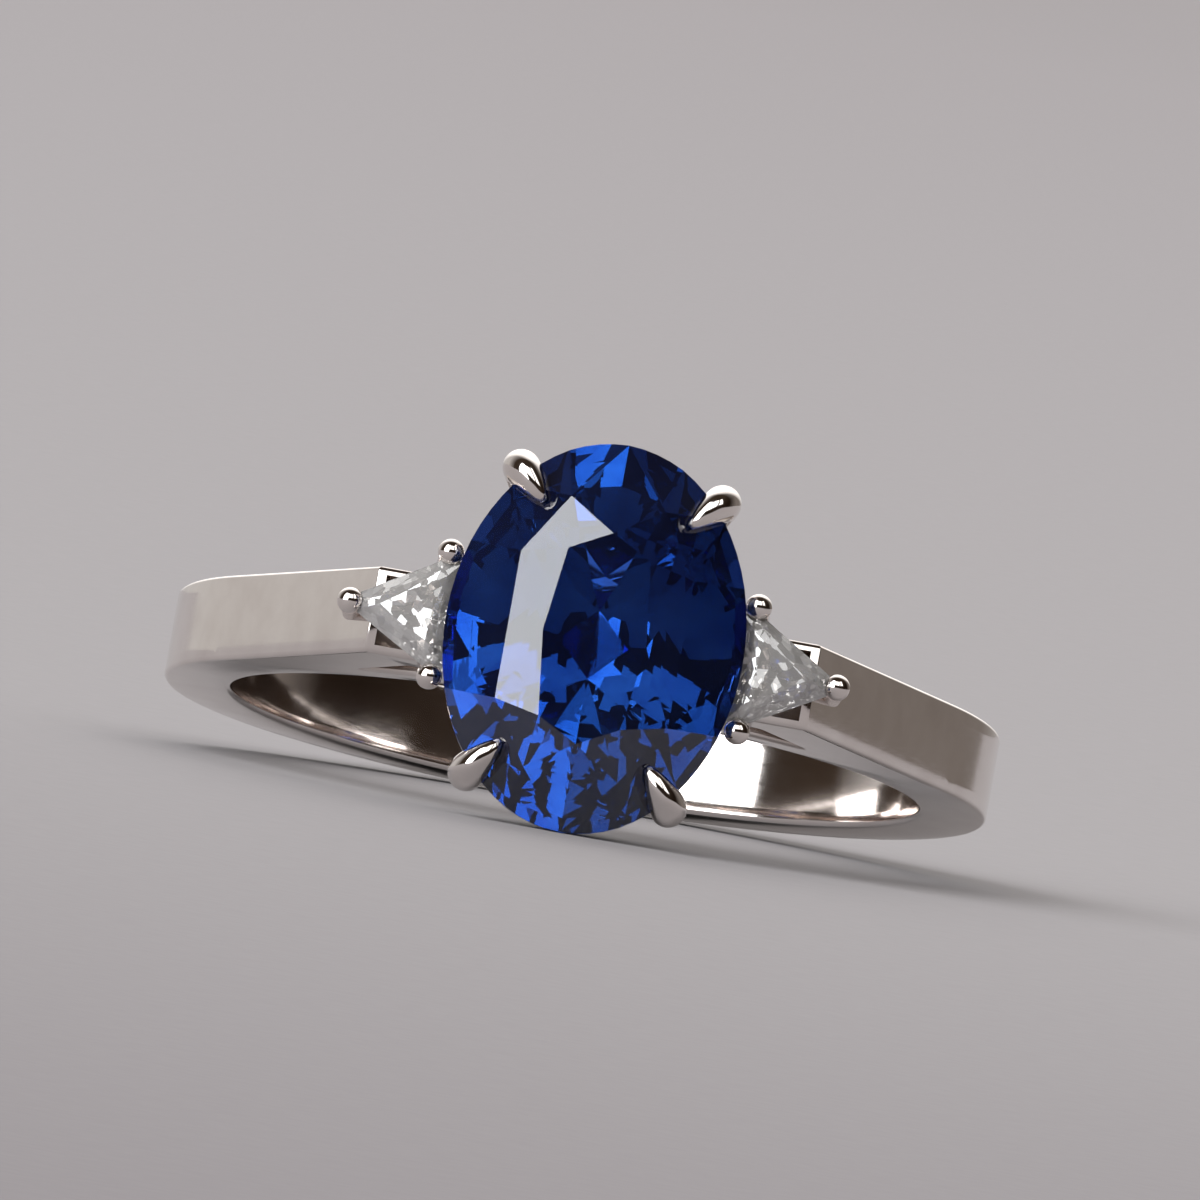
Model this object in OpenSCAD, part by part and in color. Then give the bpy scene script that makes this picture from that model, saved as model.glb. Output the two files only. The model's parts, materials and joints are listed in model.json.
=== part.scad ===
// Three stone ring, lying on its side as it rests on a flat surface.
// The ring is drawn upright first: X across the three stones, Y along the finger, Z from the
// centre of the finger hole to the top of the centre stone. rest_pose() then lays it down.
// All sizes are in millimetres.

/* [Shank] */
// Inner diameter of the finger hole
hole_d = 16.5; // [16:0.1:17.5]
// Width of the shank along the finger
shank_w = 2.05; // [1.9:0.05:2.4]
// Thickness of the shank at the back of the finger
shank_t = 1.6; // [1.4:0.05:1.9]
// Thickness of the shank where it passes under the centre stone
bridge_t = 0.95; // [0.85:0.05:1]
// Bevel along the outer edges of the shank
outer_bevel = 0.14; // [0.08:0.02:0.22]
// Bevel along the inner edges of the shank
inner_bevel = 0.1; // [0.06:0.02:0.16]

/* [Shoulders] */
// Distance from each side stone's outer corner in to the end of the shoulder
shoulder_back = 0.78; // [0.72:0.01:0.84]
// Height of each side stone's inner edge above the shoulders' rims
rim_drop = 0.96; // [0.9:0.02:1.06]
// Thickness of the pocket's end wall
end_wall = 0.2; // [0.16:0.01:0.26]
// Thickness of the pocket's side walls
side_wall = 0.19; // [0.16:0.01:0.25]
// Depth of the pocket under each side stone
pocket_depth = 0.8; // [0.7:0.05:0.85]
// Thickness of the metal under the pocket
pocket_floor = 0.55; // [0.5:0.05:0.6]
// Thickness of the post at the inner end of each shoulder, beside the window
post_t = 0.4; // [0.35:0.05:0.5]

/* [Centre stone] */
// Width of the centre stone across the finger
stone_w = 7; // [6.9:0.05:7.05]
// Length of the centre stone along the finger
stone_l = 9.2; // [8.9:0.1:9.6]
// Thickness of the centre stone's girdle at its corners
girdle_t = 0.22; // [0.2:0.01:0.26]
// Height of the table above the middle of the girdle
crown_h = 1.5; // [1.4:0.05:1.6]
// Depth of the pavilion below the girdle
pavilion_h = 3.05; // [2.9:0.05:3.1]
// Width of the centre stone's table
table_w = 2.44; // [2.3:0.02:2.6]
// Length of the centre stone's table
table_l = 5.02; // [4.8:0.1:5.2]
// How far the table lies off the stone's middle, along the finger
table_shift = 0.19; // [0.1:0.01:0.24]
// Length of the keel at the bottom of the centre stone
keel_l = 1.62; // [1.5:0.02:1.7]
// Gap between the keel of the centre stone and the shank below it
culet_gap = 0.2; // [0.1:0.05:0.3]

/* [Claws] */
// Widest part of each claw, where it passes the girdle
claw_w = 0.88; // [0.8:0.02:0.94]
// How far each claw stands out past the girdle
claw_out = 0.59; // [0.55:0.01:0.63]
// How far each claw reaches in over the crown
claw_in = 0.82; // [0.76:0.02:0.88]
// How far each claw stands above the middle of the girdle
claw_h = 1.1; // [1.05:0.01:1.2]
// Angle from the ring's X axis to each claw's place round the girdle
claw_place = 57; // [55:0.5:59]
// Angle from the ring's X axis to the line along which each claw points
claw_aim = 50; // [47:0.5:53]

/* [Basket] */
// Height of the gallery rail below the middle of the girdle
rail_drop = 1.35; // [1.3:0.05:1.45]
// Width of the gallery rail's wall
rail_w = 0.48; // [0.42:0.02:0.52]
// Height of the gallery rail's wall
rail_h = 0.5; // [0.44:0.02:0.56]
// Height of the base rail's wall
base_h = 0.66; // [0.6:0.02:0.7]
// Width of the base rail's wall
base_w = 0.6; // [0.54:0.02:0.66]

/* [Side stones] */
// Length of each side of the triangular side stones
side_l = 3.1; // [3:0.02:3.16]
// How far each side stone reaches in under the centre stone's edge
side_tuck = 0.18; // [0.1:0.01:0.22]
// Height of each side stone's inner edge below the middle of the centre stone's girdle
side_drop = 0.55; // [0.52:0.01:0.62]
// Downward slope of each side stone, away from the centre stone
side_slope = 11; // [9:0.5:12]
// Thickness of the side stones' girdle
side_girdle_t = 0.1; // [0.08:0.01:0.12]
// Height of the side stones' table above the middle of the girdle
side_crown_h = 0.4; // [0.36:0.01:0.42]
// Depth of the side stones below the girdle
side_pavilion_h = 0.8; // [0.7:0.02:0.84]
// Length cut off each corner of the side stones
corner_cut = 0.25; // [0.2:0.01:0.3]

/* [Beads] */
// Diameter of the bead at the top of each side prong
bead_d = 0.62; // [0.58:0.01:0.66]
// Diameter of the side prongs below their beads
prong_d = 0.52; // [0.46:0.01:0.56]
// Distance from each side stone's outer corner in to the centre of the bead there
tip_bead_in = 0.25; // [0.2:0.01:0.3]
// Distance from each side stone's inner edge out to the centres of the two beads there
base_bead_out = 0.32; // [0.28:0.01:0.38]
// Distance along that edge from its corners in to the centres of the same two beads
base_bead_in = 0.07; // [0.05:0.01:0.09]
// Height of each bead's centre above the side stone's girdle
bead_rise = 0.12; // [0.1:0.01:0.15]

/* [Fit] */
// Clearance between a stone and the metal that holds it
seat_gap = 0.03; // [0.02:0.005:0.04]

/* [Hidden] */

// Metal and stone colours
gold = [0.8, 0.79, 0.77];
sapphire = [0.04, 0.1, 0.5];
diamond = [0.92, 0.94, 0.96];

// Facets round drawn curves, and points round an oval rail and a claw
curve_fn = 96;
rail_points = 48;
claw_points = 12;

// Main facets round each stone, and girdle points to each girdle facet
oval_mains = 8;
oval_steps = 4;
triangle_mains = 6;
triangle_steps = 1;

// Powers that square off the rings of facet corners: 1 is an ellipse, and less is squarer
table_power = 0.66;
star_power = 0.69;

// Half sizes of the ring of star facet points, as shares of the stone's half sizes
star_share = [0.616, 0.74];
// Height of the star facet points, as a share of the crown's height
star_rise_share = 0.72;
// Shift of the star facet points, as a share of the table's
star_shift_share = 0.8;

// Steps of the centre stone's pavilion: the ring's width and length as shares of the
// girdle's, and its depth as a share of the pavilion's
oval_steps_down = [
    [0.842, 0.842, 0.221],
    [0.637, 0.674, 0.438],
    [0.414, 0.495, 0.66],
    [0.233, 0.346, 0.83]
];
// The same for the side stones, whose pavilion has one step
triangle_steps_down = [[0.55, 0.55, 0.62]];

// Side stones' facet corners as shares of the girdle's: star points, then the table's
// corners towards the stone's corners and towards its sides
side_star_share = 0.7;
side_table_share = [0.52, 0.5];
// Height of the side stones' star points, as a share of the crown's height
side_rise_share = 0.72;

// Size of the base rail and the gallery rail, as shares of the claws' oval
base_share = 0.45;
rail_share = 0.86;
// Inner end of each shoulder, as a share of the centre stone's half width
shoulder_share = 0.8;
// Sink of the base rail, the inner prongs' feet and the outer prong's foot into the metal
// that carries them
base_sink = 0.24;
foot_sink = 0.75;
tip_sink = 0.38;
// Lean of the prongs' feet: sideways in from the beads, and out from the inner beads
foot_in = 0.62;
foot_out = 0.1;

// Stem of a claw from its foot up to the girdle: size of the oval it stands on as a share of
// the claws' oval, height as a share of the way up, and width as a share of claw_w
stem_sections = [
    [base_share, 0, 0.68],
    [0.62, 0.3, 0.72],
    [rail_share, 0.68, 0.82],
    [0.95, 0.87, 0.92]
];
// Claw from the girdle to its point: the outer and inner faces' places from claw_out (1) to
// claw_in (-1), their heights as shares of claw_h, and the width as a share of claw_w
claw_sections = [
    [1, 0, -0.3, 0, 0.97],
    [1, 0.3, -0.36, 0.08, 1],
    [0.82, 0.6, -0.42, 0.13, 0.98],
    [0.48, 0.83, -0.5, 0.2, 0.9],
    [0.08, 0.96, -0.6, 0.34, 0.77],
    [-0.38, 1, -0.74, 0.54, 0.58],
    [-0.78, 0.95, -0.9, 0.67, 0.36],
    [-0.98, 0.86, -1.02, 0.74, 0.2]
];

// Derived sizes
hole_r = hole_d / 2;
outer_r = hole_r + shank_t;
bridge_r = hole_r + bridge_t;
girdle_z = bridge_r + culet_gap + pavilion_h + girdle_t / 2;
table_z = girdle_z + crown_h;
base_z = bridge_r - base_sink;
side_z = girdle_z - side_drop;
// Side stones: distances from the middle of the ring to their inner edge and outer corner
side_x = stone_w / 2 - side_tuck;
side_tip_x = side_x + side_l * sin(60);
tip_bead_x = side_tip_x - tip_bead_in;
base_bead_x = side_x + base_bead_out;
base_bead_y = side_l / 2 - base_bead_in;
shoulder_x = side_tip_x - shoulder_back;
shoulder_z = side_z - rim_drop;
// Shoulder: angles of its corner and of the point where it meets the shank, and the inner top
corner_a = atan2(shoulder_x, shoulder_z);
tangent_a = corner_a + acos(outer_r / norm([shoulder_x, shoulder_z]));
shoulder_in = stone_w / 2 * shoulder_share;
// Half sizes of the oval that the claws' stems stand on, and its turn at the claws' place
claw_centre = claw_out - claw_w / 2;
claw_oval = [stone_w / 2 + claw_centre, stone_l / 2 + claw_centre];
claw_turn = atan(tan(claw_place) * stone_w / stone_l);

// Rest pose: the tilt at which the centre stone's end and the back of the shank touch the
// surface, and the move that puts the origin at the middle of the box's underside
rest_tilt = atan((stone_l / 2 - shank_w / 2)
    / (girdle_z - girdle_t / 2 + outer_r - outer_bevel));
rest_lift = shank_w / 2 * cos(rest_tilt) + (outer_r - outer_bevel) * sin(rest_tilt);
rest_front = (table_l / 2 + table_shift) * sin(rest_tilt) + table_z * cos(rest_tilt);
rest_back = (shank_w / 2 - outer_bevel) * sin(rest_tilt) + outer_r * cos(rest_tilt);
rest_shift = (rest_front - rest_back) / 2;

module rest_pose() {
    translate([0, rest_shift, rest_lift])
        rotate([90 - rest_tilt, 0, 0])
            children();
}

// Point at turn a of an oval with half sizes s, squarer as p falls below 1
function oval(s, a, p = 1) = [
    s.x * sign(cos(a)) * pow(abs(cos(a)), p),
    s.y * sign(sin(a)) * pow(abs(sin(a)), p)
];

// Point at height z above the flat point p
function at(p, z) = [p.x, p.y, z];

// Height above the flat point p of the plane through a, b and c
function plane_z(a, b, c, p) =
    let (n = cross(b - a, c - a))
    a.z - (n.x * (p.x - a.x) + n.y * (p.y - a.y)) / n.z;

// Point of a pavilion ring: the girdle's corner p moved in and down by the step d
function step_down(p, d, half, depth) = [p.x * d[0], p.y * d[1], -half - depth * d[2]];

// Faces over the points with the indices a, b, c and d: one face where they lie in a plane,
// and otherwise two that meet at an outward fold
function facet(points, a, b, c, d) =
    let (
        n = cross(points[b] - points[a], points[c] - points[a]),
        off = n * (points[d] - points[a])
    )
    abs(off) < 1e-6 ? [[a, b, c, d]]
        : off > 0 ? [[a, b, c], [a, c, d]] : [[a, b, d], [b, c, d]];

// Faceted stone about its girdle's middle plane. table and star are rings of 3D corners,
// girdle is a flat ring with steps points to each of its facets, half is half the girdle's
// thickness, downs lists each pavilion ring's shares of the girdle and of the depth, and
// ends holds the flat places of the keel's two ends, or of the one point that it ends in.
module cut_stone(table, star, girdle, steps, half, downs, depth, ends) {
    mains = len(table);
    facets = 2 * mains;
    count = facets * steps;
    corner = [for (f = [0:facets]) girdle[(f * steps) % count]];
    first = downs[0];
    // The girdle's edges dip where the facets' planes cut its curved wall
    top = [for (j = [0:count - 1])
        let (f = floor(j / steps), s = star[floor(f / 2)])
        at(girdle[j], j % steps == 0 ? half
            : plane_z(s, at(corner[f], half), at(corner[f + 1], half), girdle[j]))];
    low = [for (j = [0:count - 1])
        let (f = floor(j / steps), p = step_down(corner[f], first, half, depth))
        at(girdle[j], j % steps == 0 ? -half
            : plane_z(p, at(corner[f], -half), at(corner[f + 1], -half), girdle[j]))];
    rings = [for (d = downs) for (f = [0:facets - 1])
        step_down(corner[f], d, half, depth)];
    points = concat(table, star, top, low, rings, [for (e = ends) at(e, -half - depth)]);
    star_0 = mains;
    top_0 = 2 * mains;
    low_0 = top_0 + count;
    ring_0 = low_0 + count;
    last_0 = ring_0 + facets * (len(downs) - 1);
    // The keel's ends, which are the same point in a stone without a keel
    end_1 = last_0 + facets;
    end_2 = end_1 + len(ends) - 1;
    faces = concat(
        [[for (i = [mains - 1:-1:0]) i]],
        [for (i = [0:mains - 1]) [i, (i + 1) % mains, star_0 + i]],
        [for (i = [0:mains - 1]) [i, star_0 + i, star_0 + (i + mains - 1) % mains]],
        [for (i = [0:mains - 1])
            [star_0 + (i + mains - 1) % mains, star_0 + i, top_0 + 2 * i * steps]],
        [for (f = [0:facets - 1]) concat([star_0 + floor(f / 2)],
            [for (k = [steps:-1:0]) top_0 + (f * steps + k) % count])],
        [for (j = [0:count - 1]) let (k = (j + 1) % count)
            [top_0 + j, top_0 + k, low_0 + k, low_0 + j]],
        [for (f = [0:facets - 1]) let (g = (f + 1) % facets)
            concat([for (k = [0:steps]) low_0 + (f * steps + k) % count],
                [ring_0 + g, ring_0 + f])],
        [for (d = [1:1:len(downs) - 1]) for (f = [0:facets - 1])
            let (a = ring_0 + (d - 1) * facets, b = a + facets, g = (f + 1) % facets)
            each facet(points, a + f, a + g, b + g, b + f)],
        [for (f = [0:facets - 1])
            [last_0 + f, last_0 + (f + 1) % facets, f < mains ? end_1 : end_2]],
        end_1 == end_2 ? []
            : [[last_0, end_1, end_2], [last_0 + mains, end_2, end_1]]
    );
    polyhedron(points, faces, convexity = 4);
}

// Oval stone about the middle of its girdle, grown by g on every side
module oval_stone(g = 0) {
    half = [stone_w / 2 + g, stone_l / 2 + g];
    turn = 360 / oval_mains;
    count = 2 * oval_mains * oval_steps;
    star_half = [half.x * star_share.x, half.y * star_share.y];
    shift = [0, -table_shift];
    table = [for (i = [0:oval_mains - 1])
        at(oval([table_w / 2 + g, table_l / 2 + g], i * turn, table_power) + shift,
            crown_h + g)];
    star = [for (i = [0:oval_mains - 1])
        at(oval(star_half, (i + 0.5) * turn, star_power) + shift * star_shift_share,
            crown_h * star_rise_share + g)];
    girdle = [for (j = [0:count - 1]) oval(half, j * 360 / count)];
    cut_stone(table, star, girdle, oval_steps, girdle_t / 2 + g, oval_steps_down, pavilion_h,
        [[0, keel_l / 2], [0, -keel_l / 2]]);
}

// Corner of a triangle with the given corner distance, cut back and spread sideways, at turn k
function triangle_corner(r, side, k) =
    let (p = [r - corner_cut, side * corner_cut * tan(30)], a = 120 * k)
    [p.x * cos(a) - p.y * sin(a), p.x * sin(a) + p.y * cos(a)];

// Triangular stone about the middle of its girdle, one corner along +X, grown by g
module triangle_stone(g = 0) {
    corner_r = side_l / sqrt(3) + 2 * g;
    middle_r = corner_r / 2;
    girdle = [for (k = [0:2]) each [
        triangle_corner(corner_r, 0, k),
        triangle_corner(corner_r, 1, k),
        middle_r * [cos(120 * k + 60), sin(120 * k + 60)],
        triangle_corner(corner_r, -1, k + 1)
    ]];
    table = [for (i = [0:triangle_mains - 1])
        at(girdle[2 * i] * side_table_share[i % 2], side_crown_h + g)];
    star = [for (i = [0:triangle_mains - 1])
        at(girdle[2 * i + 1] * side_star_share, side_crown_h * side_rise_share + g)];
    cut_stone(table, star, girdle, triangle_steps, side_girdle_t / 2 + g,
        triangle_steps_down, side_pavilion_h, [[0, 0]]);
}

// Moves a side stone's own frame to its place on the side s, 1 for right and -1 for left
module side_place(s) {
    middle = side_l / sqrt(3) / 2;
    mirror([s < 0 ? 1 : 0, 0, 0])
        translate([side_x, 0, side_z])
            rotate([0, side_slope, 0])
                translate([middle, 0, 0])
                    children();
}

// Height of the side stones' girdle plane at the distance x from the middle of the ring
function side_girdle(x) = side_z - (x - side_x) * tan(side_slope);

// Solid through a list of rings of points, each with the same count
module loft(rings) {
    count = len(rings[0]);
    last = len(rings) - 1;
    faces = concat(
        [[for (i = [0:count - 1]) i]],
        [for (r = [0:last - 1]) for (i = [0:count - 1]) let (j = (i + 1) % count)
            [r * count + i, (r + 1) * count + i, (r + 1) * count + j, r * count + j]],
        [[for (i = [count - 1:-1:0]) last * count + i]]
    );
    polyhedron([for (r = rings) each r], faces, convexity = 6);
}

// Ring of claw points between its outer point and its inner point, w wide across the claw
function claw_ring(outer, inner, w) =
    let (
        middle = (outer + inner) / 2,
        reach = (outer - inner) / 2,
        across = [-sin(claw_aim), cos(claw_aim), 0] * w / 2
    )
    [for (i = [0:claw_points - 1]) let (a = i * 360 / claw_points)
        middle + reach * cos(a) + across * sin(a)];

// Claw in the quarter of the oval where X and Y are positive
module claw() {
    aim = [cos(claw_aim), sin(claw_aim), 0];
    place = oval([stone_w / 2, stone_l / 2], claw_turn);
    stems = [for (s = stem_sections)
        let (
            p = at(oval(claw_oval * s[0], claw_turn),
                base_z + (girdle_z - base_z) * s[1]),
            w = claw_w * s[2]
        )
        claw_ring(p + aim * w / 2, p - aim * w / 2, w)];
    tops = [for (s = claw_sections)
        let (
            out = s[0] > 0 ? s[0] * claw_out : s[0] * claw_in,
            in = s[2] * claw_in
        )
        claw_ring(at(place, girdle_z) + aim * out + [0, 0, s[1] * claw_h],
            at(place, girdle_z) + aim * in + [0, 0, s[3] * claw_h], claw_w * s[4])];
    loft(concat(stems, tops));
}

// Oval rail of wall w and height h, standing on z, with the share of the claws' oval
module oval_rail(share, w, h, z) {
    ring = [for (i = [0:rail_points - 1]) i * 360 / rail_points];
    mid = claw_oval * share;
    translate([0, 0, z])
        linear_extrude(h)
            difference() {
                polygon([for (a = ring) oval([mid.x + w / 2, mid.y + w / 2], a)]);
                polygon([for (a = ring) oval([mid.x - w / 2, mid.y - w / 2], a)]);
            }
}

// Four claws, the gallery rail and the base rail of the centre stone's basket
module basket() {
    for (sx = [0, 1]) for (sy = [0, 1])
        mirror([sx, 0, 0]) mirror([0, sy, 0])
            claw();
    oval_rail(rail_share, rail_w, rail_h, girdle_z - rail_drop - rail_h / 2);
    oval_rail(base_share, base_w, base_h, base_z);
}

// Prong from its foot to the middle of its bead, with the bead on top
module prong(foot, bead) {
    way = bead - foot;
    translate(foot)
        rotate([0, acos(way.z / norm(way)), atan2(way.y, way.x)])
            cylinder(d = prong_d, h = norm(way), $fn = curve_fn);
    translate(bead)
        sphere(d = bead_d, $fn = curve_fn);
}

// The three prongs of the right side stone
module side_prongs() {
    tip_z = side_girdle(tip_bead_x) + bead_rise;
    base_bead_z = side_girdle(base_bead_x) + bead_rise;
    tip_foot_z = shoulder_z - (tip_bead_x - shoulder_x) * tan(tangent_a) - tip_sink;
    prong([tip_bead_x - foot_out, 0, tip_foot_z], [tip_bead_x, 0, tip_z]);
    for (s = [-1, 1])
        prong([base_bead_x + foot_out, s * (base_bead_y - foot_in), shoulder_z - foot_sink],
            [base_bead_x, s * base_bead_y, base_bead_z]);
}

// Band round the finger, with its edges bevelled
module shank() {
    half = shank_w / 2;
    rotate([90, 0, 0])
        rotate_extrude($fn = curve_fn)
            polygon([
                [hole_r + inner_bevel, -half], [outer_r - outer_bevel, -half],
                [outer_r, outer_bevel - half], [outer_r, half - outer_bevel],
                [outer_r - outer_bevel, half], [hole_r + inner_bevel, half],
                [hole_r, half - inner_bevel], [hole_r, inner_bevel - half]
            ]);
}

// Room above the shank's bridge, where the band is thinned to pass under the centre stone
module bridge_room() {
    difference() {
        translate([-shoulder_in, -shank_w, 0])
            cube([2 * shoulder_in, 2 * shank_w, 2 * outer_r]);
        rotate([90, 0, 0])
            cylinder(r = bridge_r, h = 3 * shank_w, center = true, $fn = curve_fn);
    }
}

// Right shoulder: rises from the shank to the pocket under the side stone, with a window below
module shoulder() {
    out = [sin(tangent_a), cos(tangent_a)];
    along = [out.y, -out.x];
    // The window's outer side is as far inside the shoulder's slope as the shank is thick
    low = hole_r * out;
    window_top = shoulder_z - pocket_depth - pocket_floor;
    window_in = shoulder_in + post_t;
    difference() {
        rotate([90, 0, 0])
            linear_extrude(shank_w, center = true)
                difference() {
                    polygon([
                        [0, 0], outer_r * out,
                        [shoulder_x, shoulder_z], [shoulder_in, shoulder_z]
                    ]);
                    circle(r = hole_r + inner_bevel, $fn = curve_fn);
                    difference() {
                        polygon([
                            [window_in, window_top],
                            low + along * (window_top - low.y) / along.y,
                            low, [window_in, low.y]
                        ]);
                        circle(r = bridge_r, $fn = curve_fn);
                    }
                }
        translate([0, side_wall - shank_w / 2, shoulder_z - pocket_depth])
            cube([shoulder_x - end_wall, shank_w - 2 * side_wall, 2 * pocket_depth]);
    }
}

// All the metal, cast and soldered as one piece, with the stones' seats cut
module ring_mount() {
    color(gold)
        rest_pose()
            difference() {
                union() {
                    difference() {
                        shank();
                        bridge_room();
                    }
                    for (s = [0, 1]) mirror([s, 0, 0]) {
                        shoulder();
                        side_prongs();
                    }
                    basket();
                }
                translate([0, 0, girdle_z]) oval_stone(seat_gap);
                for (s = [-1, 1]) side_place(s) triangle_stone(seat_gap);
            }
}

module centre_stone() {
    color(sapphire)
        rest_pose()
            translate([0, 0, girdle_z])
                oval_stone();
}

module side_stone(s) {
    color(diamond)
        rest_pose()
            side_place(s)
                triangle_stone();
}

ring_mount();
centre_stone();
side_stone(-1);  // left_stone
side_stone(1);  // right_stone
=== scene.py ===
import json
import math

import bmesh
import bpy
from mathutils import Matrix, Vector
from mathutils.geometry import tessellate_polygon


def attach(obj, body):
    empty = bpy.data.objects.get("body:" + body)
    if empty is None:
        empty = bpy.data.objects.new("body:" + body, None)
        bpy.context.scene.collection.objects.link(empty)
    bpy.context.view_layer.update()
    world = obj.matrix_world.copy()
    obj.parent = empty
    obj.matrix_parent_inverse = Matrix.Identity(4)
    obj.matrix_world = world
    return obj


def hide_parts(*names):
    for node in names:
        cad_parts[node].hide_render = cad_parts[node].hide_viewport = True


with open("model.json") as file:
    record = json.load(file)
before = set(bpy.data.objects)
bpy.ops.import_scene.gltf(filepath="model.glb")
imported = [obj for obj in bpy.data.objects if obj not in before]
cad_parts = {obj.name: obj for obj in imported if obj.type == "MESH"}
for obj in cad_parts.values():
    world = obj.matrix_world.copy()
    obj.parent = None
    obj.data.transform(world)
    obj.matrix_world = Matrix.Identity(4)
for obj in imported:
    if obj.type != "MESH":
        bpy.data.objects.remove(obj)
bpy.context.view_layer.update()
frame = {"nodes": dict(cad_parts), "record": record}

# The ring is built upright, as a jeweller draws it: X across the three stones, Y along the finger
# and Z from the finger hole's centre to the centre stone's table, in millimetres. POSE turns that
# into the frame, where the ring lies on its side.
MM = 0.001
HOLE = next(m for m in frame["record"]["mounts"] if m["name"] == "finger_hole")
FINGER = Vector(HOLE["axis"]).normalized()
ACROSS = Vector((1, 0, 0))
HEAD = ACROSS.cross(FINGER)
TURN = Matrix((ACROSS, FINGER, HEAD)).transposed()
POSE = Matrix.Translation(HOLE["pos_m"]) @ TURN.to_4x4() @ Matrix.Scale(MM, 4)

# Band
HOLE_R = HOLE["dims"]["r_mm"]
SHANK_W = 2.05
SHANK_T = 1.6
BRIDGE_T = 0.95
OUTER_R = HOLE_R + SHANK_T
BRIDGE_R = HOLE_R + BRIDGE_T
BAND_EDGE = 0.11

# Centre stone
STONE_W = 7.0
STONE_L = 9.2
GIRDLE_T = 0.22
PAVILION_H = 3.05
CULET_GAP = 0.2
GIRDLE_Z = BRIDGE_R + CULET_GAP + PAVILION_H + GIRDLE_T / 2

# Side stones
SIDE_L = 3.1
SIDE_TUCK = 0.18
SIDE_DROP = 0.55
SIDE_SLOPE = math.radians(11)
SIDE_X = STONE_W / 2 - SIDE_TUCK
SIDE_TIP_X = SIDE_X + SIDE_L * math.sin(math.radians(60))
SIDE_Z = GIRDLE_Z - SIDE_DROP

# Shoulders, with the open pocket under each side stone and the window below it. Off its middle, a
# pocket's rim falls by RIM_ARCH times the distance squared, and that fades out over RIM_DEPTH
# below the rim.
SHOULDER_BACK = 0.78
RIM_DROP = 0.96
SHOULDER_SHARE = 0.8
SHOULDER_X = SIDE_TIP_X - SHOULDER_BACK
SHOULDER_Z = SIDE_Z - RIM_DROP
SHOULDER_IN = STONE_W / 2 * SHOULDER_SHARE
END_WALL = 0.2
SIDE_WALL = 0.19
POCKET_DEPTH = 0.8
POCKET_FLOOR = 0.55
POST_T = 0.4
RIM_ARCH = 0.14
RIM_DEPTH = 0.3
RIM_ROUND = 0.06
WINDOW_ROUND = 0.16
POCKET_FLARE = 0.03
CORNER_A = math.atan2(SHOULDER_X, SHOULDER_Z)
TANGENT_A = CORNER_A + math.acos(OUTER_R / math.hypot(SHOULDER_X, SHOULDER_Z))

# Claws of the centre stone: they stand CLAW_PLACE round from the ring's X axis, which is CLAW_TURN
# in the oval's own terms, and point along CLAW_AIM
CLAW_W = 0.88
CLAW_OUT = 0.59
CLAW_IN = 0.82
CLAW_H = 1.1
CLAW_PLACE = math.radians(57)
CLAW_TURN = math.atan(math.tan(CLAW_PLACE) * STONE_W / STONE_L)
CLAW_AIM = math.radians(50)
CLAW_OVAL = (STONE_W / 2 + CLAW_OUT - CLAW_W / 2, STONE_L / 2 + CLAW_OUT - CLAW_W / 2)

# Rails of the centre stone's basket, with their size as a share of the claws' oval. The base rail
# is sunk into the bridge by BASE_SINK. The sections are squared off by RAIL_POWER.
RAIL_POWER = 0.5
BASE_SHARE = 0.45
BASE_W = 0.6
BASE_H = 0.66
BASE_SINK = 0.24
BASE_Z = BRIDGE_R - BASE_SINK
RAIL_SHARE = 0.86
RAIL_W = 0.48
RAIL_H = 0.5
RAIL_DROP = 1.35
RAIL_Z = GIRDLE_Z - RAIL_DROP - RAIL_H / 2

# Prongs and beads of the side stones
BEAD_R = 0.31
PRONG_R = 0.26
BEAD_RISE = 0.12
TIP_BEAD_IN = 0.25
BASE_BEAD_OUT = 0.32
BASE_BEAD_IN = 0.07
TIP_BEAD_X = SIDE_TIP_X - TIP_BEAD_IN
BASE_BEAD_X = SIDE_X + BASE_BEAD_OUT
BASE_BEAD_Y = SIDE_L / 2 - BASE_BEAD_IN
FOOT_IN = 0.62
FOOT_OUT = 0.1
FOOT_SINK = 0.75
TIP_SINK = 0.38
# Straight part of a prong that is left out below its bead, and the last ring on top of the bead
NECK_DROP = 0.05
BEAD_END = 0.03

# Gap between a stone and the metal that holds it
SEAT_GAP = 0.03

# Points round the finger hole, round the band's outside and over its bridge, and the steps round
# its edges and round the corners of its outlines
HOLE_POINTS = 192
SHANK_POINTS = 160
BRIDGE_POINTS = 16
EDGE_STEPS = 4
CORNER_STEPS = 4
# Points along each rail and round its section, round a claw and round a prong, and the steps
# between two rows of a claw and up a bead
RAIL_POINTS = 144
RAIL_SIDES = 20
CLAW_SIDES = 36
CLAW_STEPS = 5
PRONG_SIDES = 40
BEAD_STEPS = 15

# Points nearer to each other than this are one, and an edge that turns by more than this is sharp
SAME_POINT = 1e-4
SHARP_TURN = math.radians(40)


# Meshes in millimetres, in the upright ring's own frame


def make_object(name, points, faces):
    """A mesh object in millimetres, upright, with its faces turned outwards."""
    mesh = bpy.data.meshes.new(name)
    mesh.from_pydata([tuple(p) for p in points], [], faces)
    work = bmesh.new()
    work.from_mesh(mesh)
    bmesh.ops.recalc_face_normals(work, faces=work.faces)
    work.to_mesh(mesh)
    work.free()
    obj = bpy.data.objects.new(name, mesh)
    bpy.context.scene.collection.objects.link(obj)
    return obj


def add_modifier(obj, kind, **values):
    modifier = obj.modifiers.new(kind.title(), kind)
    for key, value in values.items():
        setattr(modifier, key, value)


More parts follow.
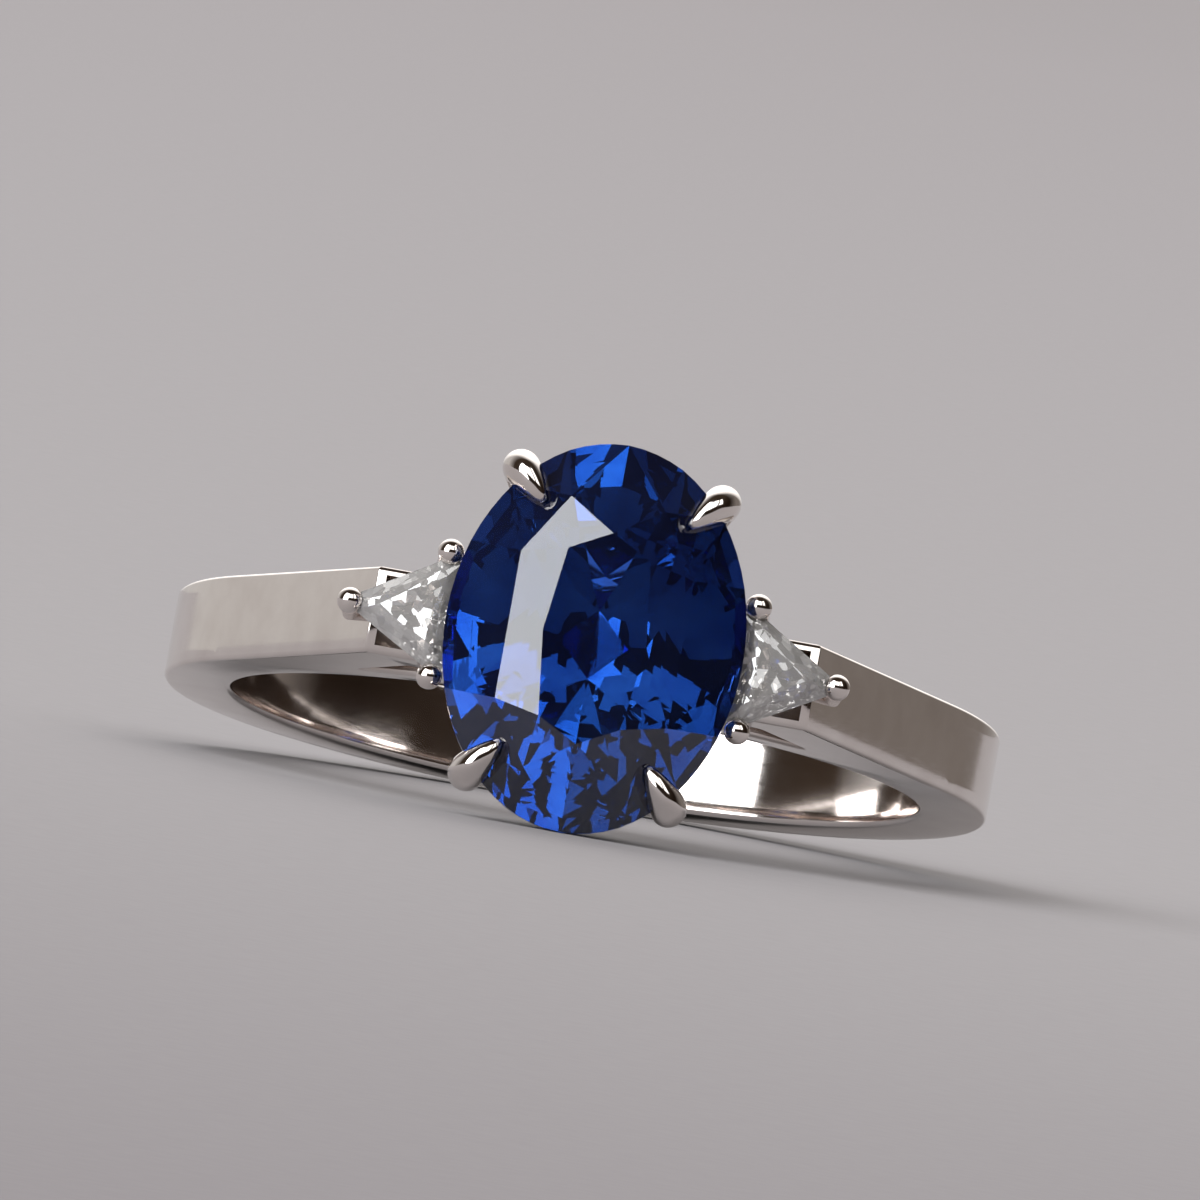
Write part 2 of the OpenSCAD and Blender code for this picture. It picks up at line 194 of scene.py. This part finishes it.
def apply_modifiers(obj):
    """Puts the modifiers' result into the object's own mesh."""
    depsgraph = bpy.context.evaluated_depsgraph_get()
    mesh = bpy.data.meshes.new_from_object(obj.evaluated_get(depsgraph))
    old = obj.data
    obj.modifiers.clear()
    obj.data = mesh
    bpy.data.meshes.remove(old)


def cut(obj, cutters):
    """Cuts each cutter out of obj, and leaves no point twice and no face of many sides."""
    for cutter in cutters:
        add_modifier(obj, "BOOLEAN", operation="DIFFERENCE", solver="EXACT", object=cutter)
    add_modifier(obj, "WELD", merge_threshold=SAME_POINT)
    add_modifier(obj, "TRIANGULATE", min_vertices=5, ngon_method="BEAUTY")
    apply_modifiers(obj)


def remove(objects):
    """Takes objects that only served as cutters out of the scene."""
    for obj in objects:
        mesh = obj.data
        bpy.data.objects.remove(obj)
        bpy.data.meshes.remove(mesh)


def offset_loop(loop, distance):
    """The closed loop of flat points, moved to its left by distance with mitred corners."""
    result = []
    for i, here in enumerate(loop):
        before = (here - loop[i - 1]).normalized()
        after = (loop[(i + 1) % len(loop)] - here).normalized()
        left_1 = Vector((-before.y, before.x))
        left_2 = Vector((-after.y, after.x))
        result.append(here + (left_1 + left_2) * distance / (1 + left_1.dot(left_2)))
    return result


def plate(name, loops, width, edge):
    """A plate along Y with rounded edges. loops are closed flat loops of (x, z): the outline
    anticlockwise, and the holes clockwise. It has rows of points across its middle too, so that
    it can be arched."""
    rows = []
    for k in range(EDGE_STEPS + 1):
        a = math.radians(90) * (1 - k / EDGE_STEPS)
        rows.append((-width / 2 + edge * (1 - math.sin(a)), edge * (1 - math.cos(a))))
    inner = width / 2 - edge
    rows += [(inner * t, 0) for t in (-0.75, -0.5, -0.25, 0)]
    rows += [(-y, inset) for y, inset in reversed(rows[:-1])]
    points = []
    faces = []
    caps = []
    for loop in loops:
        count = len(loop)
        first = len(points)
        for y, inset in rows:
            points += [(p.x, y, p.y) for p in offset_loop(loop, inset)]
        for r in range(len(rows) - 1):
            for i in range(count):
                a = first + r * count + i
                b = first + r * count + (i + 1) % count
                faces.append((a, b, b + count, a + count))
        caps.append((first, first + (len(rows) - 1) * count, count))
    for end in (0, 1):
        indices = [cap[end] + i for cap in caps for i in range(cap[2])]
        flat = [[Vector((points[cap[end] + i][0], points[cap[end] + i][2], 0))
                 for i in range(cap[2])] for cap in caps]
        faces += [tuple(indices[i] for i in triangle) for triangle in tessellate_polygon(flat)]
    return make_object(name, points, faces)


def arc(radius, start, end, count):
    """Points from the angle start to the angle end, both measured from Z towards X."""
    angles = [start + (end - start) * i / count for i in range(count + 1)]
    return [Vector((radius * math.sin(a), radius * math.cos(a))) for a in angles]


def round_corner(before, corner, after, radius):
    """Points that round the corner of an outline off."""
    to_before = (before - corner).normalized()
    to_after = (after - corner).normalized()
    half = to_before.angle(to_after) / 2
    reach = radius / math.tan(half)
    start = corner + to_before * reach
    end = corner + to_after * reach
    points = []
    for i in range(CORNER_STEPS + 1):
        t = i / CORNER_STEPS
        points.append(start * (1 - t) ** 2 + corner * 2 * t * (1 - t) + end * t ** 2)
    return points


def mirrored(points):
    """The flat points on the other side of the ring, in the order that keeps a loop's sense."""
    return [Vector((-p.x, p.y)) for p in reversed(points)]


def ring_surface(rings, closed):
    """Points and faces through a list of rings. closed joins the last ring to the first, and
    otherwise each end is closed with a fan."""
    count = len(rings[0])
    points = [p for ring in rings for p in ring]
    faces = []
    last = len(rings) if closed else len(rings) - 1
    for r in range(last):
        a = r * count
        b = (r + 1) % len(rings) * count
        for i in range(count):
            j = (i + 1) % count
            faces.append((a + i, a + j, b + j, b + i))
    if not closed:
        for ring_start in (0, (len(rings) - 1) * count):
            middle = sum((points[ring_start + i] for i in range(count)), Vector()) / count
            points.append(middle)
            for i in range(count):
                faces.append((ring_start + i, ring_start + (i + 1) % count, len(points) - 1))
    return points, faces


def smooth_rows(rows, steps):
    """Rows of numbers with steps - 1 new rows between each two, on a smooth curve."""
    result = []
    for i in range(len(rows) - 1):
        p0 = rows[max(i - 1, 0)]
        p1 = rows[i]
        p2 = rows[i + 1]
        p3 = rows[min(i + 2, len(rows) - 1)]
        for k in range(steps):
            t = k / steps
            result.append([
                0.5 * (2 * b + (c - a) * t + (2 * a - 5 * b + 4 * c - d) * t ** 2
                       + (3 * b - a - 3 * c + d) * t ** 3)
                for a, b, c, d in zip(p0, p1, p2, p3)])
    return result + [rows[-1]]


def oval(half, angle):
    """The point of an oval at that angle, with half its width and half its length."""
    return Vector((half[0] * math.cos(angle), half[1] * math.sin(angle), 0))


# Pieces of the ring


def band():
    """The shank and both shoulders in one plate, with a pocket cut into each shoulder and a
    window below it."""
    out = Vector((math.sin(TANGENT_A), math.cos(TANGENT_A)))
    along = Vector((out.y, -out.x))
    meet = out * OUTER_R
    rim = Vector((SHOULDER_X, SHOULDER_Z))
    rim_in = Vector((SHOULDER_IN, SHOULDER_Z))
    foot_angle = math.atan2(SHOULDER_IN, SHOULDER_Z)
    foot = BRIDGE_R * rim_in.normalized()
    right = (
        round_corner(foot, rim_in, rim, RIM_ROUND)
        + round_corner(rim_in, rim, meet, RIM_ROUND)
    )
    outline = (
        arc(BRIDGE_R, -foot_angle, foot_angle, BRIDGE_POINTS)
        + right
        + arc(OUTER_R, TANGENT_A, 2 * math.pi - TANGENT_A, SHANK_POINTS)
        + mirrored(right)
    )
    outline.reverse()
    hole = arc(HOLE_R, 0, 2 * math.pi, HOLE_POINTS)[:-1]

    # The window below the pocket
    low = out * HOLE_R
    top = SHOULDER_Z - POCKET_DEPTH - POCKET_FLOOR
    inner = SHOULDER_IN + POST_T
    high = low + along * (top - low.y) / along.y
    meet_t = math.sqrt(BRIDGE_R ** 2 - HOLE_R ** 2)
    outer_low = low - along * meet_t
    inner_low = Vector((inner, math.sqrt(BRIDGE_R ** 2 - inner ** 2)))
    inner_high = Vector((inner, top))
    window = (
        round_corner(inner_low, inner_high, high, WINDOW_ROUND)
        + round_corner(inner_high, high, outer_low, WINDOW_ROUND)
        + round_corner(high, outer_low, inner_low, WINDOW_ROUND / 2)
        + round_corner(outer_low, inner_low, inner_high, WINDOW_ROUND)
    )
    loops = [outline, hole, window, mirrored(window)]
    obj = plate("band", loops, SHANK_W, BAND_EDGE)
    # The rims of the pockets are arched: their middle stands highest
    for vertex in obj.data.vertices:
        share = min(max((vertex.co.z - SHOULDER_Z + RIM_DEPTH) / RIM_DEPTH, 0), 1)
        vertex.co.z -= RIM_ARCH * vertex.co.y ** 2 * share

    wide = SHANK_W / 2 - SIDE_WALL
    end = SHOULDER_X - END_WALL
    start = SHOULDER_IN / 2
    # Height of each level of the pocket's cutter, and how far it widens there
    levels = [
        (SHOULDER_Z - POCKET_DEPTH, 0),
        (SHOULDER_Z - POCKET_FLARE, 0),
        (SHOULDER_Z + POCKET_FLARE, 2 * POCKET_FLARE),
        (SHOULDER_Z + 1, 2 * POCKET_FLARE),
    ]
    cutters = []
    for side in (1, -1):
        rings = []
        for z, grow in levels:
            reach = end + grow
            half = wide + grow
            ring = [Vector((start, -half, z)), Vector((reach, -half, z)),
                    Vector((reach, half, z)), Vector((start, half, z))]
            rings.append([Vector((p.x * side, p.y, p.z)) for p in ring])
        points, faces = ring_surface(rings, closed=False)
        cutters.append(make_object("pocket_cutter", points, faces))
    cut(obj, cutters)
    remove(cutters)
    return obj


# Claw from its foot to the girdle: share of the claws' oval, share of the way up, share of CLAW_W
STEM = [
    (BASE_SHARE, 0, 0.68),
    (0.62, 0.3, 0.72),
    (RAIL_SHARE, 0.68, 0.82),
    (0.95, 0.87, 0.92),
]
# Claw from the girdle to its point: the outer face's place from CLAW_OUT (1) to CLAW_IN (-1) and
# its height as a share of CLAW_H, the same for the inner face, and the share of CLAW_W
CLAW = [
    (1, 0, -0.3, 0, 0.97),
    (1, 0.3, -0.36, 0.08, 1),
    (0.82, 0.6, -0.42, 0.13, 0.98),
    (0.48, 0.83, -0.5, 0.2, 0.9),
    (0.08, 0.96, -0.6, 0.34, 0.77),
    (-0.38, 1, -0.74, 0.54, 0.58),
    (-0.78, 0.95, -0.9, 0.67, 0.36),
    (-0.98, 0.86, -1.02, 0.74, 0.2),
    (-1.03, 0.81, -1.04, 0.77, 0.07),
]


def claw(name, side_x, side_y):
    """A claw, from its foot in the base rail to its point on the crown. side_x and side_y, each 1
    or -1, are its side of the ring."""
    aim = Vector((math.cos(CLAW_AIM), math.sin(CLAW_AIM), 0))
    across = Vector((-aim.y, aim.x, 0))
    place = oval((STONE_W / 2, STONE_L / 2), CLAW_TURN)
    rows = []
    for share, rise, wide in STEM:
        middle = oval((CLAW_OVAL[0] * share, CLAW_OVAL[1] * share), CLAW_TURN)
        middle.z = BASE_Z + (GIRDLE_Z - BASE_Z) * rise
        half = CLAW_W * wide / 2
        rows.append([*middle, *(aim * half), half])
    for out_x, out_z, in_x, in_z, wide in CLAW:
        out = place + aim * out_x * (CLAW_OUT if out_x > 0 else CLAW_IN)
        out.z = GIRDLE_Z + out_z * CLAW_H
        inside = place + aim * in_x * CLAW_IN
        inside.z = GIRDLE_Z + in_z * CLAW_H
        rows.append([*((out + inside) / 2), *((out - inside) / 2), CLAW_W * wide / 2])
    rings = []
    for row in smooth_rows(rows, CLAW_STEPS):
        middle = Vector(row[0:3])
        reach = Vector(row[3:6])
        half = row[6]
        ring = []
        for i in range(CLAW_SIDES):
            a = 2 * math.pi * i / CLAW_SIDES
            p = middle + reach * math.cos(a) + across * half * math.sin(a)
            ring.append(Vector((p.x * side_x, p.y * side_y, p.z)))
        rings.append(ring)
    points, faces = ring_surface(rings, closed=False)
    return make_object(name, points, faces)


def oval_rail(name, share, wall, height, bottom):
    """An oval rail of the basket, with rounded edges."""
    rings = []
    for i in range(RAIL_POINTS):
        turn = 2 * math.pi * i / RAIL_POINTS
        ring = []
        for k in range(RAIL_SIDES):
            a = 2 * math.pi * k / RAIL_SIDES
            out = wall / 2 * math.copysign(abs(math.cos(a)) ** RAIL_POWER, math.cos(a))
            up = height / 2 * math.copysign(abs(math.sin(a)) ** RAIL_POWER, math.sin(a))
            p = oval((CLAW_OVAL[0] * share + out, CLAW_OVAL[1] * share + out), turn)
            p.z = bottom + height / 2 + up
            ring.append(p)
        rings.append(ring)
    points, faces = ring_surface(rings, closed=True)
    return make_object(name, points, faces)


def prong(name, foot, bead):
    """A round prong from its foot to the bead at its top."""
    way = bead - foot
    neck = math.sqrt(BEAD_R ** 2 - PRONG_R ** 2)
    profile = [(PRONG_R, 0), (PRONG_R, way.length - neck - NECK_DROP)]
    start = math.atan2(-neck, PRONG_R)
    for i in range(BEAD_STEPS):
        a = start + (math.radians(90) - start) * i / BEAD_STEPS
        profile.append((BEAD_R * math.cos(a), way.length + BEAD_R * math.sin(a)))
    profile.append((BEAD_R * BEAD_END, way.length + BEAD_R))
    turn = Vector((0, 0, 1)).rotation_difference(way)
    rings = []
    for radius, height in profile:
        ring = []
        for i in range(PRONG_SIDES):
            a = 2 * math.pi * i / PRONG_SIDES
            p = Vector((radius * math.cos(a), radius * math.sin(a), height))
            ring.append(turn @ p + foot)
        rings.append(ring)
    points, faces = ring_surface(rings, closed=False)
    return make_object(name, points, faces)


def side_girdle(x):
    """Height of the middle of a side stone's girdle, which slopes down outwards."""
    return SIDE_Z - (x - SIDE_X) * math.tan(SIDE_SLOPE)


def side_prongs(word, side):
    """The three prongs of the side stone on that side, 1 or -1, named after word."""
    tip_z = side_girdle(TIP_BEAD_X) + BEAD_RISE
    base_z = side_girdle(BASE_BEAD_X) + BEAD_RISE
    tip_foot_z = SHOULDER_Z - (TIP_BEAD_X - SHOULDER_X) * math.tan(TANGENT_A) - TIP_SINK
    pieces = [prong(word + "_outer_prong",
                    Vector((side * (TIP_BEAD_X - FOOT_OUT), 0, tip_foot_z)),
                    Vector((side * TIP_BEAD_X, 0, tip_z)))]
    for end, up in (("upper", 1), ("lower", -1)):
        foot = Vector((side * (BASE_BEAD_X + FOOT_OUT), up * (BASE_BEAD_Y - FOOT_IN),
                       SHOULDER_Z - FOOT_SINK))
        bead = Vector((side * BASE_BEAD_X, up * BASE_BEAD_Y, base_z))
        pieces.append(prong(f"{word}_{end}_prong", foot, bead))
    return pieces


def seat_cutter(node):
    """The node's stone, upright in millimetres and grown by the seat's gap."""
    mesh = frame["nodes"][node].data.copy()
    mesh.transform(POSE.inverted())
    work = bmesh.new()
    work.from_mesh(mesh)
    bmesh.ops.remove_doubles(work, verts=work.verts, dist=SAME_POINT)
    bmesh.ops.recalc_face_normals(work, faces=work.faces)
    work.normal_update()
    for vertex in work.verts:
        vertex.co += vertex.normal * SEAT_GAP
    work.to_mesh(mesh)
    work.free()
    obj = bpy.data.objects.new(node + "_seat", mesh)
    bpy.context.scene.collection.objects.link(obj)
    return obj


# Materials


def new_material(name):
    material = bpy.data.materials.new(name)
    material.use_nodes = True
    nodes = material.node_tree.nodes
    return material, nodes, material.node_tree.links, nodes["Principled BSDF"]


def noise(nodes, links, scale, detail, stretch=(1, 1, 1)):
    """A noise texture over the object's own coordinates."""
    where = nodes.new("ShaderNodeTexCoord")
    mapping = nodes.new("ShaderNodeMapping")
    mapping.inputs["Scale"].default_value = stretch
    texture = nodes.new("ShaderNodeTexNoise")
    texture.inputs["Scale"].default_value = scale
    texture.inputs["Detail"].default_value = detail
    links.new(where.outputs["Object"], mapping.inputs["Vector"])
    links.new(mapping.outputs["Vector"], texture.inputs["Vector"])
    return texture.outputs["Fac"]


def ramp(nodes, links, factor, stops):
    """A colour ramp driven by factor. stops are (position, colour)."""
    node = nodes.new("ShaderNodeValToRGB")
    elements = node.color_ramp.elements
    while len(elements) < len(stops):
        elements.new(0.5)
    for element, (position, colour) in zip(elements, stops):
        element.position = position
        element.color = (*colour, 1)
    links.new(factor, node.inputs["Fac"])
    return node.outputs["Color"]


def mix(nodes, links, blend, first, second):
    """Two colours, blended in full."""
    node = nodes.new("ShaderNodeMixRGB")
    node.blend_type = blend
    node.inputs["Fac"].default_value = 1.0
    links.new(first, node.inputs["Color1"])
    links.new(second, node.inputs["Color2"])
    return node.outputs["Color"]


def vector_math(nodes, links, operation, first, *others):
    """A vector worked out from the vector first, and from others, which are fixed vectors or
    outputs of nodes."""
    node = nodes.new("ShaderNodeVectorMath")
    node.operation = operation
    links.new(first, node.inputs[0])
    for i, other in enumerate(others, 1):
        if isinstance(other, bpy.types.NodeSocket):
            links.new(other, node.inputs[i])
        else:
            node.inputs[i].default_value = other
    return node.outputs["Value" if operation == "DOT_PRODUCT" else "Vector"]


def map_range(nodes, links, value, start, end, low=0.0, high=1.0):
    """A value that goes from low to high while the given one goes from start to end."""
    node = nodes.new("ShaderNodeMapRange")
    node.inputs["From Min"].default_value = start
    node.inputs["From Max"].default_value = end
    node.inputs["To Min"].default_value = low
    node.inputs["To Max"].default_value = high
    links.new(value, node.inputs["Value"])
    return node.outputs["Result"]


# The metal's colours, how rough and how deep its polishing marks are, how far it looks for walls
# round a recess to paint shade there, and what the deepest recess keeps of its colour as painted
# shade
GOLD_DARK = (0.77, 0.71, 0.675)
GOLD_LIGHT = (0.85, 0.795, 0.76)
GOLD_ROUGHNESS = (0.04, 0.13)
MARK_DEPTH = 0.004
PAINTED_SHADE_REACH = 0.9
PAINTED_SHADE_TINT = (0.3, 0.22, 0.17)


def white_gold():
    """Polished white gold, with a faint cloudiness and fine polishing marks. Shade is painted into
    the recesses: ambient occlusion darkens the colour there."""
    material, nodes, links, shader = new_material("white_gold")
    shader.inputs["Metallic"].default_value = 1.0
    clouds = noise(nodes, links, 900, 4)
    tint = ramp(nodes, links, clouds, [(0.3, GOLD_DARK), (0.7, GOLD_LIGHT)])
    # Painted shade: ambient occlusion darkens the base colour down in the recesses
    recess_painted_shade = nodes.new("ShaderNodeAmbientOcclusion")
    recess_painted_shade.samples = 4
    recess_painted_shade.only_local = True
    recess_painted_shade.inputs["Distance"].default_value = PAINTED_SHADE_REACH * MM
    shade = ramp(nodes, links, recess_painted_shade.outputs["AO"], [(0.42, PAINTED_SHADE_TINT), (0.85, (1, 1, 1))])
    links.new(mix(nodes, links, "MULTIPLY", tint, shade), shader.inputs["Base Color"])
    marks = noise(nodes, links, 2500, 6, (1, 1, 9))
    links.new(map_range(nodes, links, marks, 0, 1, *GOLD_ROUGHNESS), shader.inputs["Roughness"])
    relief = nodes.new("ShaderNodeBump")
    relief.inputs["Strength"].default_value = 0.05
    relief.inputs["Distance"].default_value = MARK_DEPTH * MM
    links.new(marks, relief.inputs["Height"])
    links.new(relief.outputs["Normal"], shader.inputs["Normal"])
    return material


# The blue stone's darkest and lightest zones. Along a metre it absorbs BLUE_DENSITY times what
# BLUE_VOLUME falls short of white.
BLUE_DARK = (0.04, 0.11, 0.66)
BLUE_LIGHT = (0.11, 0.24, 1.0)
BLUE_VOLUME = (0.37, 0.61, 0.66, 1)
BLUE_DENSITY = 500.0


def sapphire():
    """Clear blue stone: light is absorbed along its way through, and the colour is zoned."""
    material, nodes, links, shader = new_material("sapphire")
    shader.inputs["Transmission Weight"].default_value = 0.982
    shader.inputs["IOR"].default_value = 1.77
    shader.inputs["Roughness"].default_value = 0.0
    zones = noise(nodes, links, 520, 3, (1, 0.4, 1))
    tint = ramp(nodes, links, zones, [(0.36, BLUE_DARK), (0.62, BLUE_LIGHT)])
    links.new(tint, shader.inputs["Base Color"])
    volume = nodes.new("ShaderNodeVolumeAbsorption")
    volume.inputs["Color"].default_value = BLUE_VOLUME
    volume.inputs["Density"].default_value = BLUE_DENSITY
    links.new(volume.outputs["Volume"], nodes["Material Output"].inputs["Volume"])
    return material


# The clear stones' colours, and how far the small cells of their surface lean along each axis
CLEAR_DARK = (0.97, 0.935, 0.90)
CLEAR_LIGHT = (1.0, 0.97, 0.945)
CELL_LEAN = 0.18


def diamond():
    """Colourless stone with a high refractive index. A share of its light is scattered, as the
    many small reflections in a stone of this size do."""
    material, nodes, links, shader = new_material("diamond")
    shader.inputs["Transmission Weight"].default_value = 0.72
    shader.inputs["IOR"].default_value = 2.42
    shader.inputs["Roughness"].default_value = 0.03
    zones = noise(nodes, links, 900, 2)
    tint = ramp(nodes, links, zones, [(0.3, CLEAR_DARK), (0.7, CLEAR_LIGHT)])
    links.new(tint, shader.inputs["Base Color"])
    # Each cell of the surface leans its own way
    where = nodes.new("ShaderNodeTexCoord")
    cells = nodes.new("ShaderNodeTexVoronoi")
    cells.inputs["Scale"].default_value = 4400
    links.new(where.outputs["Object"], cells.inputs["Vector"])
    lean = vector_math(nodes, links, "MULTIPLY_ADD", cells.outputs["Color"],
                       (2 * CELL_LEAN,) * 3, (-CELL_LEAN,) * 3)
    surface = nodes.new("ShaderNodeNewGeometry")
    total = vector_math(nodes, links, "ADD", surface.outputs["Normal"], lean)
    links.new(vector_math(nodes, links, "NORMALIZE", total), shader.inputs["Normal"])
    return material


# The floor's colour changes from FLOOR_START to FLOOR_END, both in metres along Y: it is
# FLOOR_FRONT at the first, FLOOR_RING by the ring, FLOOR_BACK halfway and FLOOR_FAR at the end
# This gradient is painted light and shade: darker in front of the ring, paler far behind it
FLOOR_START = -0.25
FLOOR_END = 4.4
FLOOR_FRONT = (0.285, 0.262, 0.272)
FLOOR_RING = (0.422, 0.40, 0.408)
FLOOR_BACK = (0.635, 0.60, 0.62)
FLOOR_FAR = (0.80, 0.765, 0.79)


def pale_floor():
    """Matt grey paper, finely grained, on a tone of painted light that rises away from the ring.
    """
    material, nodes, links, shader = new_material("pale_floor")
    shader.inputs["Roughness"].default_value = 0.9
    shader.inputs["Specular IOR Level"].default_value = 0.2
    where = nodes.new("ShaderNodeTexCoord")
    parts = nodes.new("ShaderNodeSeparateXYZ")
    links.new(where.outputs["Object"], parts.inputs["Vector"])
    away = map_range(nodes, links, parts.outputs["Y"], FLOOR_START, FLOOR_END)
    # Painted light and shade: the tone darkens towards the front and brightens far behind the ring
    tone = ramp(nodes, links, away, [
        (0.0, FLOOR_FRONT), (0.06, FLOOR_RING), (0.53, FLOOR_BACK), (1.0, FLOOR_FAR)])
    grain = ramp(nodes, links, noise(nodes, links, 1500, 2), [
        (0.35, (0.97, 0.97, 0.97)), (0.65, (1, 1, 1))])
    links.new(mix(nodes, links, "MULTIPLY", tone, grain), shader.inputs["Base Color"])
    return material


# Stage: floor, lights, world and camera


# Half the floor's width and the distance of the soft boxes from the ring, in metres
FLOOR_HALF = 6.0
BOX_DISTANCE = 3.0


def add_floor():
    mesh = bpy.data.meshes.new("floor")
    signs = ((-1, -1), (1, -1), (1, 1), (-1, 1))
    corners = [(x * FLOOR_HALF, y * FLOOR_HALF, 0) for x, y in signs]
    mesh.from_pydata(corners, [], [(0, 1, 2, 3)])
    floor = bpy.data.objects.new("floor", mesh)
    bpy.context.scene.collection.objects.link(floor)
    mesh.materials.append(pale_floor())


def direction(azimuth, elevation):
    """From the ring outwards. Azimuth 0 is the camera's side, and positive is to its left."""
    a = math.radians(azimuth)
    e = math.radians(elevation)
    return Vector((-math.sin(a) * math.cos(e), -math.cos(a) * math.cos(e), math.sin(e)))


def add_softbox(name, azimuth, width, low, high, radiance, colour=(1, 1, 1)):
    """An upright soft box of that radiance, from the height low to the height high."""
    data = bpy.data.lights.new(name, "AREA")
    data.shape = "RECTANGLE"
    data.size = width
    data.size_y = high - low
    data.energy = radiance * math.pi * width * (high - low)
    data.color = colour
    light = bpy.data.objects.new(name, data)
    way = direction(azimuth, 0)
    light.location = way * BOX_DISTANCE + Vector((0, 0, (low + high) / 2))
    light.rotation_euler = way.to_track_quat("Z", "Y").to_euler()
    bpy.context.scene.collection.objects.link(light)


def add_world():
    """A room that is dark round the camera, where the photographer stands, pale behind the
    ring and above it there, and dimmer on the right."""
    world = bpy.data.worlds.new("studio")
    world.use_nodes = True
    bpy.context.scene.world = world
    nodes = world.node_tree.nodes
    links = world.node_tree.links
    where = nodes.new("ShaderNodeTexCoord")

    def towards(way):
        """From 0 opposite the direction way to 1 along it."""
        dot = vector_math(nodes, links, "DOT_PRODUCT", where.outputs["Generated"], way)
        return map_range(nodes, links, dot, -1, 1)

    room = ramp(nodes, links, towards(direction(0, 0)), [
        (0.22, (0.57, 0.55, 0.535)), (0.33, (0.28, 0.265, 0.255)), (0.43, (0.045, 0.031, 0.022)),
        (1.0, (0.022, 0.015, 0.011))])
    right = ramp(nodes, links, towards(direction(-112, 0)), [
        (0.7, (1, 1, 1)), (0.92, (0.34, 0.31, 0.29))])
    sky = ramp(nodes, links, towards(direction(180, 38)), [
        (0.88, (0, 0, 0)), (0.95, (1.05, 1.03, 1.01))])
    walls = mix(nodes, links, "MULTIPLY", room, right)
    links.new(mix(nodes, links, "ADD", walls, sky), nodes["Background"].inputs["Color"])


# The photograph's width in pixels, where the centre stone's middle lies in it, its scale and how
# far its camera was rolled. CAMERA_DISTANCE is in metres, and CAMERA_ELEVATION in degrees.
PHOTO_PX = 1200
STONE_PX = (594.5, 639)
PX_PER_MM = 43.0
ROLL = math.radians(10.2)
CAMERA_DISTANCE = 0.8
CAMERA_ELEVATION = 1.5


def add_camera():
    """The photograph's view: roll, framing and size in the frame are the photograph's."""
    frame_mm = PHOTO_PX / PX_PER_MM
    back = direction(0, CAMERA_ELEVATION)
    level_up = back.cross(ACROSS)
    if level_up.z < 0:
        level_up = -level_up
    right = ACROSS * math.cos(ROLL) + level_up * math.sin(ROLL)
    up = level_up * math.cos(ROLL) - ACROSS * math.sin(ROLL)
    off_x = (PHOTO_PX / 2 - STONE_PX[0]) / PX_PER_MM * MM
    off_y = (STONE_PX[1] - PHOTO_PX / 2) / PX_PER_MM * MM
    stone_centre = POSE @ Vector((0, 0, GIRDLE_Z))
    target = stone_centre + right * off_x + up * off_y
    data = bpy.data.cameras.new("camera")
    data.sensor_width = 36
    data.lens = data.sensor_width * CAMERA_DISTANCE / (frame_mm * MM)
    data.clip_start = 0.01
    data.clip_end = 50
    camera = bpy.data.objects.new("camera", data)
    camera.matrix_world = (Matrix.Translation(target + back * CAMERA_DISTANCE)
                           @ Matrix((right, up, back)).transposed().to_4x4())
    bpy.context.scene.collection.objects.link(camera)
    bpy.context.scene.camera = camera


gold = white_gold()
pieces = [
    band(),
    oval_rail("base_rail", BASE_SHARE, BASE_W, BASE_H, BASE_Z),
    oval_rail("gallery_rail", RAIL_SHARE, RAIL_W, RAIL_H, RAIL_Z),
]
centre_seat = seat_cutter("centre_stone")
for name, side_x, side_y in (("upper_left", -1, 1), ("upper_right", 1, 1),
                             ("lower_left", -1, -1), ("lower_right", 1, -1)):
    piece = claw("claw_" + name, side_x, side_y)
    cut(piece, [centre_seat])
    pieces.append(piece)
remove([centre_seat])
for word, side in (("left", -1), ("right", 1)):
    seat = seat_cutter(word + "_stone")
    for piece in side_prongs(word, side):
        cut(piece, [seat])
        pieces.append(piece)
    remove([seat])

for piece in pieces:
    mesh = piece.data
    mesh.transform(POSE)
    mesh.materials.clear()
    mesh.materials.append(gold)
    mesh.shade_smooth()
    mesh.set_sharp_from_angle(angle=SHARP_TURN)
    add_modifier(piece, "WEIGHTED_NORMAL", keep_sharp=True)
    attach(piece, "root")
    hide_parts("ring_mount")

clear = diamond()
blue = sapphire()
for node, material in (("centre_stone", blue), ("left_stone", clear), ("right_stone", clear)):
    mesh = frame["nodes"][node].data
    for i in range(len(mesh.materials)):
        mesh.materials[i] = material

add_floor()
add_world()
# The window lights the pale band on the centre stone
add_softbox("window", 45, 2.3, 0.0, 4.4, 6.1, (0.96, 0.98, 1.0))
add_softbox("front", 0, 2.4, 1.34, 4.8, 2.2)
add_softbox("right", -42, 1.27, 1.3, 5.2, 1.9)
add_camera()

# Enough bounces for the light's way through the stones
cycles = bpy.context.scene.cycles
cycles.max_bounces = 24
cycles.transmission_bounces = 20
cycles.glossy_bounces = 8
cycles.transparent_max_bounces = 12
cycles.caustics_reflective = False
cycles.caustics_refractive = False
bpy.context.scene.view_settings.view_transform = "Standard"
